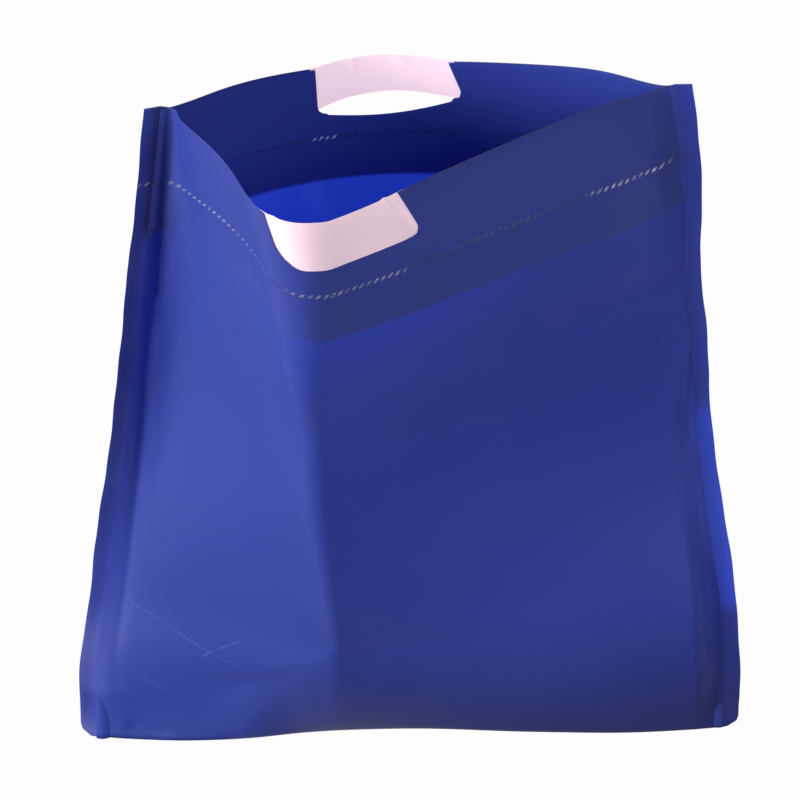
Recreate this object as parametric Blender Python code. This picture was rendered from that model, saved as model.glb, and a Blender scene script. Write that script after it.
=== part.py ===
"""Plastic carrier bag: a welded film bag with a turned hem and two pink handle strips.

Metres, +Z up. The bag stands on its base with its mouth open, front panel towards -Y.
Each panel is laid out flat first, as distances across the film and below the rim, and is
then carried onto its standing shape, so welds, hem and notches keep their real lengths.
"""
import math

import bmesh
import bpy
import numpy as np

# flat sizes of the film
FILM_WIDTH = 0.384            # between the two side welds
FLANGE_WIDTH = 0.010          # welded edge outside each side weld
PANEL_HEIGHT = 0.461          # from the rim to the middle of the base
BASE_DEPTH = 0.054            # film each panel pair gives to the base at mid-width, both halves
FILM_WALL = 0.0005            # single film
HEM_WALL = 0.0010             # film turned over once
FLANGE_HALF = 0.0005          # half the thickness of the welded edge
BASE_WALL = 0.0006

# hem and its pressed weld line
WELD_DEPTH = 0.052            # below the rim
WELD_GROOVE_WIDTH = 0.0026
WELD_GROOVE_DEPTH = 0.0003
HEM_DEPTH = 0.084             # below the rim
HEM_EDGE = 0.0006             # length over which the hem's cut edge thins out

# handle notches, cut from the rim: left edge at rim, right edge at rim, left slant, right
# slant, left depth, right depth, left corner radius, right corner radius; the edges are
# measured from the left weld
FRONT_NOTCH = (0.110, 0.1960, 0.26, 0.45, 0.0330, 0.0330, 0.015, 0.007)
BACK_NOTCH = (0.126, 0.2200, 0.14, 0.40, 0.0340, 0.0270, 0.006, 0.007)
STRIP_WALL = 0.0005
FIT_GAP = 0.0003              # between a strip and its notch
FRONT_STRIP_RISE = 0.001      # how far a strip's top edge bows above the rim
BACK_STRIP_RISE = 0.006
FRONT_STRIP_LIFT = 0.0        # how far a strip's lower edge bows up from the notch
BACK_STRIP_LIFT = 0.010

# standing shape, given at heights from the base (0) to the rim (1)
SEAM_HEIGHTS = (0.0, 0.10, 0.20, 0.35, 0.50, 0.60, 0.72, 0.85, 1.0)
LEFT_SEAM_IN = (0.001, 0.0015, 0.0085, 0.0183, 0.0280, 0.032, 0.0375, 0.0435, 0.050)
RIGHT_SEAM_IN = (0.001, 0.001, 0.004, 0.0135, 0.0215, 0.0235, 0.030, 0.0305, 0.0375)
SEAM_SLACK = 0.001            # film left over between the seams at the base
LEAN_HEIGHTS = (0.0, 0.2, 0.5, 0.8, 1.0)
LEFT_SEAM_Y = (-0.024, 0.002, 0.0025, -0.009, -0.007)
RIGHT_SEAM_Y = (-0.026, -0.019, 0.015, 0.013, 0.011)
LEFT_TAB_ANGLE = (8.0, -5.0, -5.0, -5.0, 10.0)
RIGHT_TAB_ANGLE = (12.0, 4.0, 20.0, 16.0, -4.0)
FRONT_TAKE_UP = (0.994, 1.0, 0.985, 0.985, 0.979)
BACK_TAKE_UP = (1.050, 1.024, 0.957, 0.913, 0.845)
RIDGE_HEIGHTS = (0.0, 0.06, 0.13, 0.20, 0.264, 0.46, 0.64, 0.805, 1.0)
RIDGE_PLACE = (0.220, 0.254, 0.298, 0.382, 0.385, 0.366, 0.349, 0.332, 0.315)
RIDGE_REACH = (0.16, 0.13, 0.075, 0.018, 0.016, 0.028, 0.050, 0.075, 0.10)
LEFT_TAB = 0.012              # shares of the width that stay flat beside a weld
RIGHT_TAB = 0.012
LEFT_EASE = (0.05, 0.05, 0.05, 0.035, 0.018)      # and over which the panel leaves it
RIGHT_EASE = (0.05, 0.05, 0.07, 0.06, 0.05)
BACK_EASE = 0.02
LEFT_PUCKER = 0.0225          # how much the side welds have drawn the film up
RIGHT_PUCKER = 0.0287
FRONT_BELLY = 0.0090

# foot of the front panel: where it meets the ground, and how high above that it starts
FOOT_ACROSS = (0.0, 0.12, 0.25, 0.45, 0.70, 0.85, 1.0)
FOOT_Y = (-0.0235, -0.0275, -0.0262, -0.0205, -0.0260, -0.0286, -0.0260)
FOOT_LINE_ACROSS = (0.0, 0.20, 0.30, 0.378, 0.60, 0.90, 0.975, 1.0)
FOOT_LINE_HEIGHT = (0.06, 0.08, 0.13, 0.205, 0.19, 0.14, 0.115, 0.06)

# fineness
SURVEY_COLUMNS = 192
SURVEY_ROWS = 60
OUTER_COLUMNS = 13            # columns between the left weld and a notch
RIGHT_COLUMNS = 16            # columns between a notch and the right weld
NOTCH_COLUMNS = 12
PANEL_ROWS = 17               # rows below the hem
STRIP_COLUMNS = 14
STRIP_ROWS = 4

BLUE = (0.035, 0.048, 0.300, 1.0)
PINK = (0.830, 0.600, 0.660, 1.0)


def smooth(x):
    x = np.clip(x, 0.0, 1.0)
    return x * x * (3.0 - 2.0 * x)


def curve(knots, values, x):
    """A smooth curve through a few named values."""
    k = np.array(knots, float)
    y = np.array(values, float)
    h = np.diff(k)
    slope = np.diff(y) / h
    inner = (slope[:-1] * h[1:] + slope[1:] * h[:-1]) / (h[1:] + h[:-1])
    m = np.concatenate([slope[:1], inner, slope[-1:]])
    i = np.clip(np.searchsorted(k, x) - 1, 0, len(k) - 2)
    t = (x - k[i]) / h[i]
    ends = (1 + 2 * t) * (1 - t) ** 2 * y[i] + t * t * (3 - 2 * t) * y[i + 1]
    return ends + h[i] * (t * (1 - t) ** 2 * m[i] + t * t * (t - 1) * m[i + 1])


def walk(heading, length):
    """Plan points reached by following the headings along a film of that length."""
    step = length[:, None] / heading.shape[1]
    points = np.zeros((heading.shape[0], heading.shape[1] + 1, 2))
    points[:, 1:, 0] = np.cumsum(np.cos(heading), 1) * step
    points[:, 1:, 1] = np.cumsum(np.sin(heading), 1) * step
    return points


def closed_sections(tabs, bend_a, bend_b, length, left, right):
    """Plan sections of a film that leaves both seams along their tabs.

    The two bends are scaled at each height until the film's own length just reaches
    from the left seam to the right one.
    """
    a = np.full(len(left), 0.35)
    b = np.full(len(left), 0.25)
    goal = right - left
    for _ in range(40):
        heading = tabs + a[:, None] * bend_a + b[:, None] * bend_b
        c, s = np.cos(heading), np.sin(heading)
        miss_x = length * c.mean(1) - goal[:, 0]
        miss_y = length * s.mean(1) - goal[:, 1]
        xa, xb = -length * (s * bend_a).mean(1), -length * (s * bend_b).mean(1)
        ya, yb = length * (c * bend_a).mean(1), length * (c * bend_b).mean(1)
        aa, ab, bb = xa * xa + ya * ya + 1e-9, xa * xb + ya * yb, xb * xb + yb * yb + 1e-9
        pull_a, pull_b = xa * miss_x + ya * miss_y, xb * miss_x + yb * miss_y
        det = aa * bb - ab * ab
        a = np.clip(a - np.clip((bb * pull_a - ab * pull_b) / det, -0.2, 0.2), 0.0, 1.4)
        b = np.clip(b - np.clip((aa * pull_b - ab * pull_a) / det, -0.2, 0.2), 0.0, 1.4)
    points = walk(tabs + a[:, None] * bend_a + b[:, None] * bend_b, length) + left[:, None]
    share = np.linspace(0, 1, points.shape[1])
    return points + share[None, :, None] * (right - points[:, -1])[:, None]


class Panel:
    """One standing panel: carries (across, below the rim) on the flat film into space."""

    def __init__(self, points, outward, tab_left, tab_right):
        self.points = points
        self.outward = outward
        across = np.gradient(points, axis=1)
        up = np.gradient(points, axis=0)
        normal = np.cross(across, up)
        normal /= np.linalg.norm(normal, axis=2, keepdims=True)
        for column, angle in ((0, tab_left), (-1, tab_right)):
            normal[:, column] = np.stack([np.sin(angle), -np.cos(angle), 0 * angle], 1)
        self.normal = normal if outward < 0 else -normal

    def height_share(self, across, below):
        return 1.0 - below / (PANEL_HEIGHT - base_share(across / FILM_WIDTH))

    def sample(self, field, across, share):
        x = np.clip(across / FILM_WIDTH, 0, 1) * SURVEY_COLUMNS
        y = share * SURVEY_ROWS
        i = min(int(x), SURVEY_COLUMNS - 1)
        j = min(max(int(math.floor(y)), 0), SURVEY_ROWS - 1)
        s, t = x - i, y - j
        low = field[j, i] * (1 - s) + field[j, i + 1] * s
        high = field[j + 1, i] * (1 - s) + field[j + 1, i + 1] * s
        return low * (1 - t) + high * t

    def at(self, across, share, offset):
        """The point that far outside the inner face of the hem."""
        n = self.sample(self.normal, across, min(share, 1.0))
        return self.sample(self.points, across, share) + n / np.linalg.norm(n) * offset


def base_share(u):
    """Film that the base takes from a panel, at each share of the width."""
    return BASE_DEPTH / 2 * np.sin(np.pi * np.clip(u, 0, 1)) ** 0.8


def stand_panels():
    """Front and back panel of the open, standing bag."""
    v = np.linspace(0, 1, SURVEY_ROWS + 1)
    u = np.linspace(0, 1, SURVEY_COLUMNS + 1)
    mid = (u[1:] + u[:-1]) / 2
    half = (FILM_WIDTH - SEAM_SLACK) / 2
    left = np.stack([-half + curve(SEAM_HEIGHTS, LEFT_SEAM_IN, v),
                     curve(LEAN_HEIGHTS, LEFT_SEAM_Y, v)], 1)
    right = np.stack([half - curve(SEAM_HEIGHTS, RIGHT_SEAM_IN, v),
                      curve(LEAN_HEIGHTS, RIGHT_SEAM_Y, v)], 1)
    tab_left = np.radians(curve(LEAN_HEIGHTS, LEFT_TAB_ANGLE, v))
    tab_right = np.radians(curve(LEAN_HEIGHTS, RIGHT_TAB_ANGLE, v))

    # front panel: two nearly flat legs that meet at a soft ridge
    leave = smooth((mid - LEFT_TAB) / curve(LEAN_HEIGHTS, LEFT_EASE, v)[:, None])
    arrive = smooth((1 - mid - RIGHT_TAB) / curve(LEAN_HEIGHTS, RIGHT_EASE, v)[:, None])
    place = curve(RIDGE_HEIGHTS, RIDGE_PLACE, v)[:, None]
    reach = curve(RIDGE_HEIGHTS, RIDGE_REACH, v)[:, None]
    turn = smooth((mid[None] - place + reach) / (2 * reach))
    tabs = tab_left[:, None] * (1 - leave) + tab_right[:, None] * (1 - arrive)
    length = FILM_WIDTH * curve(LEAN_HEIGHTS, FRONT_TAKE_UP, v)
    bends = leave * arrive
    front = closed_sections(tabs, -bends * (1 - turn), bends * turn, length, left, right)
    line = np.interp(u, FOOT_LINE_ACROSS, FOOT_LINE_HEIGHT)
    near = SURVEY_COLUMNS // 32
    line = np.convolve(np.pad(line, near, mode="edge"), np.ones(2 * near + 1), mode="valid")
    held = np.clip(1 - v[:, None] * (2 * near + 1) / line[None], 0, 1) ** 2
    front[:, :, 1] += held * (curve(FOOT_ACROSS, FOOT_Y, u) - front[0, :, 1])[None]
    belly_across = smooth((u - 0.30) / 0.25) * smooth((1 - u) / 0.15)
    belly_up = smooth((v - 0.45) / 0.4) * (1 - 0.9 * smooth((v - 0.86) / 0.14))
    front[:, :, 1] -= FRONT_BELLY * belly_up[:, None] * belly_across[None]

    # back panel: one even bow
    leave = smooth(mid / BACK_EASE)[None]
    arrive = smooth((1 - mid) / BACK_EASE)[None]
    tabs = tab_left[:, None] * (1 - leave) + tab_right[:, None] * (1 - arrive)
    bow = (1 - 2 * smooth((mid - 0.18) / 0.64))[None]
    length = FILM_WIDTH * curve(LEAN_HEIGHTS, BACK_TAKE_UP, v)
    bends = leave * arrive
    back = closed_sections(tabs, bends * np.clip(bow, 0, 1), bends * np.clip(bow, -1, 0),
                           length, left, right)

    # the film does not stretch, so what it covers in plan it loses in height
    drawn = (1 - LEFT_PUCKER * np.exp(-(u / 0.12) ** 2)
             - RIGHT_PUCKER * np.exp(-((1 - u) / 0.16) ** 2))
    film = (PANEL_HEIGHT - base_share(u)) * drawn / SURVEY_ROWS
    panels = []
    for plan, outward in ((front, -1), (back, 1)):
        sideways = (np.diff(plan, axis=0) ** 2).sum(2)
        rise = np.sqrt(np.maximum(film[None] ** 2 - sideways, 0.05 * film[None] ** 2))
        z = np.zeros(plan.shape[:2])
        z[1:] = np.cumsum(rise, 0)
        points = np.concatenate([plan, z[..., None]], 2)
        panels.append(Panel(points, outward, tab_left, tab_right))
    return panels


class Notch:
    """A rounded handle notch in the flat film, open at the rim."""

    def __init__(self, sizes):
        (self.left, self.right, self.left_slant, self.right_slant, self.left_depth,
         self.right_depth, self.left_radius, self.right_radius) = sizes
        self.foot_left = self.left_at(self.left_depth)
        self.foot_right = self.right_at(self.right_depth)

    def left_at(self, below):
        return self.left + self.left_slant * min(max(below, 0.0), self.left_depth)

    def right_at(self, below):
        return self.right + self.right_slant * min(max(below, 0.0), self.right_depth)

    def floor_at(self, across):
        """Depth of the notch's floor between its two corners."""
        t = (across - self.foot_left) / (self.foot_right - self.foot_left)
        return self.left_depth + (self.right_depth - self.left_depth) * min(max(t, 0.0), 1.0)


def outer_offset(across):
    """Outer face, from the inner face of the hem: thinner where the edges are welded."""
    room = min(across, FILM_WIDTH - across)
    return FLANGE_HALF + (HEM_WALL - FLANGE_HALF) * float(smooth(room / 0.05))


def inner_offset(across, below):
    if below <= HEM_DEPTH:
        return 0.0
    return outer_offset(across) - FILM_WALL


def film_layout(notch):
    """Flat positions (across, share of height, below) of every film vertex of a panel.

    Rows 0 to 4 follow the notch down; row 4 turns its two rounded corners.
    """
    corner = [math.radians(a) for a in (0.0, 22.5, 45.0, 67.5, 90.0)]
    last = 4

    def side_depths(radius, depth):
        drops = [depth - radius * (1 - math.sin(a)) for a in corner[:3]]
        return [0.0, drops[0] / 2] + drops

    left_depths = side_depths(notch.left_radius, notch.left_depth)
    right_depths = side_depths(notch.right_radius, notch.right_depth)
    groove = WELD_GROOVE_WIDTH / 2
    below_notch = [
        (max(notch.left_depth, notch.right_depth) + WELD_DEPTH) / 2,
        WELD_DEPTH - groove, WELD_DEPTH, WELD_DEPTH + groove,
        (WELD_DEPTH + HEM_DEPTH) / 2,
        HEM_DEPTH, HEM_DEPTH + HEM_EDGE,
    ]
    n_rows = last + 1 + len(below_notch) + PANEL_ROWS
    first_inner = OUTER_COLUMNS
    last_inner = OUTER_COLUMNS + NOTCH_COLUMNS
    n_columns = last_inner + RIGHT_COLUMNS + 1
    grid = []
    for row in range(n_rows):
        line = []
        for column in range(n_columns):
            if row <= last:
                left_d, right_d = left_depths[row], right_depths[row]
                turn = corner[max(row - 2, 0)]
            else:
                left_d, right_d = notch.left_depth, notch.right_depth
                turn = 0.0
            left_x = notch.left_at(left_d) + notch.left_radius * (1 - math.cos(turn))
            right_x = notch.right_at(right_d) - notch.right_radius * (1 - math.cos(turn))
            if column <= first_inner:
                t = column / first_inner
                across = left_x * (0.55 * t + 0.45 * t * t)
                below = left_d
            elif column >= last_inner:
                t = (column - last_inner) / RIGHT_COLUMNS
                across = right_x + (FILM_WIDTH - right_x) * t
                below = right_d
            else:
                across, below = notch_floor(notch, column - first_inner, corner)
                if row < last:
                    line.append(None)
                    continue
                if row > last:
                    even = (column - first_inner) / NOTCH_COLUMNS
                    ease = min((row - last) / 2, 1.0)
                    across += ease * (left_x + (right_x - left_x) * even - across)
            if row > last:
                step = row - last - 1
                below = below_notch[min(step, len(below_notch) - 1)]
            whole = PANEL_HEIGHT - base_share(across / FILM_WIDTH)
            share = 1.0 - below / whole
            if row > last + len(below_notch):
                step = row - last - len(below_notch)
                share *= 1.0 - step / PANEL_ROWS
                below = whole * (1.0 - share)
            line.append((across, share, below))
        grid.append(line)
    return grid, last, first_inner, last_inner


def notch_floor(notch, step, corner):
    """Points of the notch's lower edge, left corner to right corner."""
    start = notch.foot_left + notch.left_radius
    end = notch.foot_right - notch.right_radius
    if step <= 2:
        turn, radius = corner[2 + step], notch.left_radius
        x, depth = start - radius * math.cos(turn), notch.left_depth
    elif step >= NOTCH_COLUMNS - 2:
        turn, radius = corner[2 + NOTCH_COLUMNS - step], notch.right_radius
        x, depth = end + radius * math.cos(turn), notch.right_depth
    else:
        turn, radius = corner[4], 0.0
        x = start + (end - start) * (step - 2) / (NOTCH_COLUMNS - 4)
        depth = notch.floor_at(x)
    return x, depth - radius * (1 - math.sin(turn))


def build_film(panels, notches):
    """The whole blue bag as one closed body."""
    bm = bmesh.new()
    skins = []
    for panel, notch in zip(panels, notches):
        grid, last, first_inner, last_inner = film_layout(notch)
        outer, inner = [], []
        for row, line in enumerate(grid):
            outer_line, inner_line = [], []
            for spot in line:
                if spot is None:
                    outer_line.append(None)
                    inner_line.append(None)
                    continue
                across, share, below = spot
                lift = outer_offset(across)
                if abs(below - WELD_DEPTH) < 1e-6:
                    lift -= WELD_GROOVE_DEPTH
                out = panel.at(across, share, lift)
                into = panel.at(across, share, inner_offset(across, below))
                if row == len(grid) - 1:
                    out[2] = 0.0
                    into[2] = BASE_WALL
                outer_line.append(bm.verts.new(out))
                inner_line.append(into)
            outer.append(outer_line)
            inner.append(inner_line)
        skins.append((panel, grid, outer, inner, last, first_inner, last_inner))

    # the two inner faces meet in one line along each side weld
    columns = len(skins[0][1][0])
    rows = len(skins[0][1])
    seams = {}
    for row in range(rows):
        for column in (0, columns - 1):
            point = (skins[0][3][row][column] + skins[1][3][row][column]) / 2
            seams[row, column] = bm.verts.new(point)
    for panel, grid, outer, inner, last, first_inner, last_inner in skins:
        for row in range(rows):
            for column in range(columns):
                if (row, column) in seams:
                    inner[row][column] = seams[row, column]
                elif inner[row][column] is not None:
                    inner[row][column] = bm.verts.new(inner[row][column])

    for panel, grid, outer, inner, last, first_inner, last_inner in skins:
        for row in range(rows - 1):
            for column in range(columns - 1):
                if row < last and first_inner <= column < last_inner:
                    continue
                for skin in (outer, inner):
                    bm.faces.new((skin[row][column], skin[row][column + 1],
                                  skin[row + 1][column + 1], skin[row + 1][column]))
        edge = [(0, c) for c in range(0, first_inner + 1)]
        edge += [(r, first_inner) for r in range(1, last + 1)]
        edge += [(last, c) for c in range(first_inner + 1, last_inner + 1)]
        edge += [(r, last_inner) for r in range(last - 1, -1, -1)]
        edge += [(0, c) for c in range(last_inner + 1, columns)]
        for (r0, c0), (r1, c1) in zip(edge[:-1], edge[1:]):
            bm.faces.new((outer[r0][c0], outer[r1][c1], inner[r1][c1], inner[r0][c0]))

    # base: a flat lens between the lower edges of the panels, inside and out
    front_outer, back_outer = skins[0][2], skins[1][2]
    front_inner, back_inner = skins[0][3], skins[1][3]
    for skin_a, skin_b in ((front_outer, back_outer), (front_inner, back_inner)):
        for column in range(columns - 1):
            loop = [skin_a[-1][column], skin_a[-1][column + 1],
                    skin_b[-1][column + 1], skin_b[-1][column]]
            bm.faces.new(tuple(dict.fromkeys(loop)))

    # welded edges outside the side welds
    for column, side in ((0, -1.0), (columns - 1, 1.0)):
        tips = []
        for row in range(rows):
            pair = []
            for panel, outer in ((skins[0][0], front_outer), (skins[1][0], back_outer)):
                across, share, below = skins[0][1][row][column]
                normal = panel.sample(panel.normal, across, share) * -panel.outward
                along = np.array([-normal[1], normal[0], 0.0])
                along /= np.linalg.norm(along)
                co = np.array(outer[row][column].co) + along * side * FLANGE_WIDTH
                pair.append(bm.verts.new(co))
            tips.append(pair)
        for row in range(rows - 1):
            for k, outer in ((0, front_outer), (1, back_outer)):
                bm.faces.new((tips[row][k], outer[row][column],
                              outer[row + 1][column], tips[row + 1][k]))
            bm.faces.new((tips[row][0], tips[row][1], tips[row + 1][1], tips[row + 1][0]))
        bm.faces.new((tips[0][0], front_outer[0][column], seams[0, column],
                      back_outer[0][column], tips[0][1]))
        bm.faces.new((tips[-1][0], front_outer[-1][column],
                      back_outer[-1][column], tips[-1][1]))
    return bm


def strip_bounds(notch, rise, lift):
    """Flat outline of a handle strip: for each column its side share, top and bottom."""
    bottom_left = notch.foot_left + FIT_GAP
    width = notch.foot_right - FIT_GAP - bottom_left
    columns = []
    for column in range(STRIP_COLUMNS + 1):
        t = column / STRIP_COLUMNS
        s = 0.5 - 0.5 * math.cos(math.pi * t)
        from_left, from_right = s * width, (1 - s) * width
        bottom = notch.floor_at(bottom_left + from_left) - FIT_GAP
        for room, radius in ((from_left, notch.left_radius), (from_right, notch.right_radius)):
            if room < radius:
                bottom -= radius - math.sqrt(radius ** 2 - (radius - room) ** 2)
        bottom -= lift * math.sin(math.pi * s) ** 0.8
        columns.append((s, -rise * math.sin(math.pi * s), bottom))
    return columns


def build_strip(panel, notch, rise, lift):
    """A pink handle strip that bridges its notch, free along its lower edge."""
    bm = bmesh.new()
    middle = HEM_WALL / 2
    skins = []
    for offset in (middle - STRIP_WALL / 2, middle + STRIP_WALL / 2):
        skin = []
        for s, top, bottom in strip_bounds(notch, rise, lift):
            line = []
            for row in range(STRIP_ROWS + 1):
                below = top + (bottom - top) * row / STRIP_ROWS
                left = notch.left_at(below) + FIT_GAP
                right = notch.right_at(below) - FIT_GAP
                across = left + (right - left) * s
                share = panel.height_share(across, below)
                line.append(bm.verts.new(panel.at(across, share, offset)))
            skin.append(line)
        skins.append(skin)
    inner, outer = skins
    for c in range(STRIP_COLUMNS):
        for r in range(STRIP_ROWS):
            for skin in skins:
                bm.faces.new((skin[c][r], skin[c + 1][r], skin[c + 1][r + 1], skin[c][r + 1]))
        for r in (0, STRIP_ROWS):
            bm.faces.new((outer[c][r], outer[c + 1][r], inner[c + 1][r], inner[c][r]))
    for c in (0, STRIP_COLUMNS):
        for r in range(STRIP_ROWS):
            bm.faces.new((outer[c][r], outer[c][r + 1], inner[c][r + 1], inner[c][r]))
    return bm


def film_material(name, colour, roughness, transmission):
    material = bpy.data.materials.new(name)
    material.use_nodes = True
    shader = material.node_tree.nodes["Principled BSDF"]
    shader.inputs["Base Color"].default_value = colour
    shader.inputs["Roughness"].default_value = roughness
    shader.inputs["Metallic"].default_value = 0.0
    shader.inputs["Transmission Weight"].default_value = transmission
    return material


def add_object(name, bm, material):
    bmesh.ops.recalc_face_normals(bm, faces=bm.faces)
    bmesh.ops.triangulate(bm, faces=[f for f in bm.faces if len(f.verts) > 3])
    mesh = bpy.data.meshes.new(name)
    bm.to_mesh(mesh)
    bm.free()
    for face in mesh.polygons:
        face.use_smooth = False
    mesh.materials.append(material)
    obj = bpy.data.objects.new(name, mesh)
    bpy.context.scene.collection.objects.link(obj)
    return obj


def centre_over_origin(objects):
    """Move the whole bag so that its overall box is centred over the origin in plan."""
    spots = np.array([vert.co[:] for obj in objects for vert in obj.data.vertices])
    shift = (spots.min(0) + spots.max(0)) / 2
    for obj in objects:
        for vert in obj.data.vertices:
            vert.co.x -= shift[0]
            vert.co.y -= shift[1]


def main():
    for obj in list(bpy.data.objects):
        bpy.data.objects.remove(obj, do_unlink=True)
    panels = stand_panels()
    notches = [Notch(FRONT_NOTCH), Notch(BACK_NOTCH)]
    blue = film_material("blue_film", BLUE, 0.42, 0.0)
    front_pink = film_material("front_pink_film", PINK, 0.45, 0.0)
    back_pink = film_material("back_pink_film", PINK, 0.45, 0.0)
    front_strip = build_strip(panels[0], notches[0], FRONT_STRIP_RISE, FRONT_STRIP_LIFT)
    back_strip = build_strip(panels[1], notches[1], BACK_STRIP_RISE, BACK_STRIP_LIFT)
    centre_over_origin([
        add_object("bag_film", build_film(panels, notches), blue),
        add_object("front_handle_strip", front_strip, front_pink),
        add_object("back_handle_strip", back_strip, back_pink),
    ])


main()
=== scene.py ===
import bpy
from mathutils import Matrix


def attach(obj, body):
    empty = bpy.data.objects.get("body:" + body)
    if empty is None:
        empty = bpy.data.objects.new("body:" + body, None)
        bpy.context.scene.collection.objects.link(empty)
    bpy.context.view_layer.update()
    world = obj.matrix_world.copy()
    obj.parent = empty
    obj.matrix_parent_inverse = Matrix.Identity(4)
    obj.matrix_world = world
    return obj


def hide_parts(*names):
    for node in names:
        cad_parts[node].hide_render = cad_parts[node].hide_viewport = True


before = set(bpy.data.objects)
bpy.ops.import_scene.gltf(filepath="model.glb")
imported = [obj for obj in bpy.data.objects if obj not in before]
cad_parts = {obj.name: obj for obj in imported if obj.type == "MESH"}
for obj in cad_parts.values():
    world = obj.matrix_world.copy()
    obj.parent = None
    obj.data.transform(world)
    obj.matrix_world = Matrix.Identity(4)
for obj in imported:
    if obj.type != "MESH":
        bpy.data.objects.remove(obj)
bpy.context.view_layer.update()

import math

import bpy
import numpy as np

# Looks of the plastic carrier bag. The thin film is laid out flat as (across, below the rim)
# and carried onto a standing shape close to that of the solids; lengths are in metres.

# film
FILM_WIDTH = 0.384
FLANGE_WIDTH = 0.010
PANEL_HEIGHT = 0.461
BASE_DEPTH = 0.054
OUTER_PLY = 0.0007            # how far the outer ply lies outside a panel's own surface
PLY_GAP = 0.0005              # from the outer ply to the turned-in hem ply
WELD_DEPTH = 0.052
HEM_DEPTH = 0.084
SEAM_EASE = 0.02              # the plies part over these lengths: from a side weld,
HEM_SEAM_EASE = 0.006         # from a side weld for the hem's inner ply,
RIM_EASE = 0.002              # and from the fold along the rim
GROUND_EASE = 0.004           # folds fade out over this height at the ground

# notches: left edge at rim, right edge at rim, left slant, right slant, left depth, right
# depth, left corner radius, right corner radius, sag of the floor
FRONT_NOTCH = (0.110, 0.1960, 0.26, 0.45, 0.0330, 0.0330, 0.015, 0.007, 0.0)
BACK_NOTCH = (0.126, 0.2200, 0.14, 0.40, 0.0340, 0.0270, 0.006, 0.007, 0.0075)
STRIP_LAP = 0.004             # how far a strip runs in between the hem's plies
FLOOR_LAP = 0.0015            # how far the front strip runs below the notch's floor
FRONT_STRIP_RISE = 0.001
BACK_STRIP_RISE = 0.006
BACK_STRIP_LIFT = 0.0175
FRONT_STRIP_WAVE = 0.0012     # how far its top edge sways
# folds down a strip: share of its width at the top, at the bottom, depth, width
FRONT_STRIP_FOLDS = ((0.86, 0.93, 0.0010, 0.035), (0.10, 0.04, 0.0006, 0.05))
BACK_STRIP_FOLDS = ((0.62, 0.80, 0.0008, 0.06), (0.30, 0.36, 0.0004, 0.04))

# standing shape at heights from the base (0) to the rim (1)
SEAM_HEIGHTS = (0.0, 0.10, 0.20, 0.35, 0.50, 0.60, 0.72, 0.85, 1.0)
SEAM_SLACK = 0.001
LEFT_SEAM_IN = (0.001, 0.0015, 0.0085, 0.0172, 0.0258, 0.0298, 0.0355, 0.0420, 0.0495)
LEAN_HEIGHTS = (0.0, 0.2, 0.5, 0.8, 1.0)
LEFT_SEAM_Y = (-0.024, 0.002, 0.003, -0.0110, -0.008)
RIGHT_SEAM_IN = (0.001, 0.001, 0.004, 0.0133, 0.0208, 0.0232, 0.0290, 0.0300, 0.0380)
RIGHT_SEAM_Y = (-0.026, -0.0175, 0.0145, 0.0125, 0.0105)
LEFT_TAB_ANGLE = (-24.0, -14.0, 22.0, 24.0, 18.0)
RIGHT_TAB_ANGLE = (10.0, 2.0, 20.0, 15.0, -5.0)
FRONT_TAKE_UP = (0.994, 0.996, 0.9855, 0.988, 0.977)
BACK_TAKE_UP = (1.05, 1.0177, 0.9587, 0.9174, 0.8439)
RIDGE_HEIGHTS = (0.0, 0.06, 0.13, 0.20, 0.264, 0.46, 0.64, 0.805, 1.0)
RIDGE_PLACE = (0.222, 0.254, 0.292, 0.381, 0.383, 0.362, 0.350, 0.3345, 0.312)
RIDGE_REACH = (0.020, 0.028, 0.040, 0.010, 0.012, 0.022, 0.030, 0.055, 0.10)
RIDGE_LIP = 0.30              # how much more the film bends right beside the ridge
LIP_REACH = (0.05, 0.05, 0.05, 0.03, 0.03, 0.05, 0.08, 0.10, 0.12)
LEFT_TAB = 0.004
LEFT_EASE = (0.03, 0.03, 0.09, 0.09, 0.018)
RIGHT_TAB = 0.012
RIGHT_EASE = (0.05, 0.05, 0.07, 0.06, 0.05)
BACK_EASE = 0.02
# how much the film is drawn up at a place across, as a share, and over which reach
LEFT_PUCKER, LEFT_PUCKER_REACH = 0.0200, 0.12
RIGHT_PUCKER, RIGHT_PUCKER_REACH = 0.0290, 0.11
RIDGE_PUCKER, RIDGE_PUCKER_PLACE, RIDGE_PUCKER_REACH = 0.0120, 0.36, 0.17
FOOT_ACROSS = (0.0, 0.15, 0.25, 0.33, 0.50, 0.70, 0.85, 1.0)
FOOT_Y = (-0.0225, -0.0276, -0.0262, -0.0222, -0.0203, -0.0260, -0.0286, -0.0258)
FOOT_LINE_ACROSS = (0.0, 0.20, 0.30, 0.378, 0.60, 0.90, 0.975, 1.0)
FOOT_LINE_HEIGHT = (0.06, 0.08, 0.13, 0.205, 0.19, 0.14, 0.115, 0.06)
FOOT_LINE_BLUR = 25           # survey columns over which the foot's upper line is rounded
FOOT_BOW = 1.9                # how much steeper the film turns in close to the base
FRONT_BELLY = 0.0095
BELLY_ACROSS, BELLY_UP = 0.30, 0.45       # where the belly starts
RIGHT_SWELL = 0.012           # low down in front of the right weld
SWELL_HEIGHT, SWELL_BELOW, SWELL_ABOVE = 0.165, 0.10, 0.17
BACK_BOW_START, BACK_BOW_WIDTH = 0.18, 0.64

CORNER_ROUND = 0.007          # rounding of the welded edges' lower corners
CLEAR_EDGE = (0.075, 0.235)   # heights between which the right welded edge lets light through
LEAST_RISE = 0.05             # least share of a film step, squared, that goes upwards
BACK_FILM = 1.0               # added to the back panel's film coordinate across
FLANGE_PLIES = 3.0            # value of the plies attribute in the welded edges
CLOSING_STEPS = 40            # steps in which a plan section's length is closed

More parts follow.
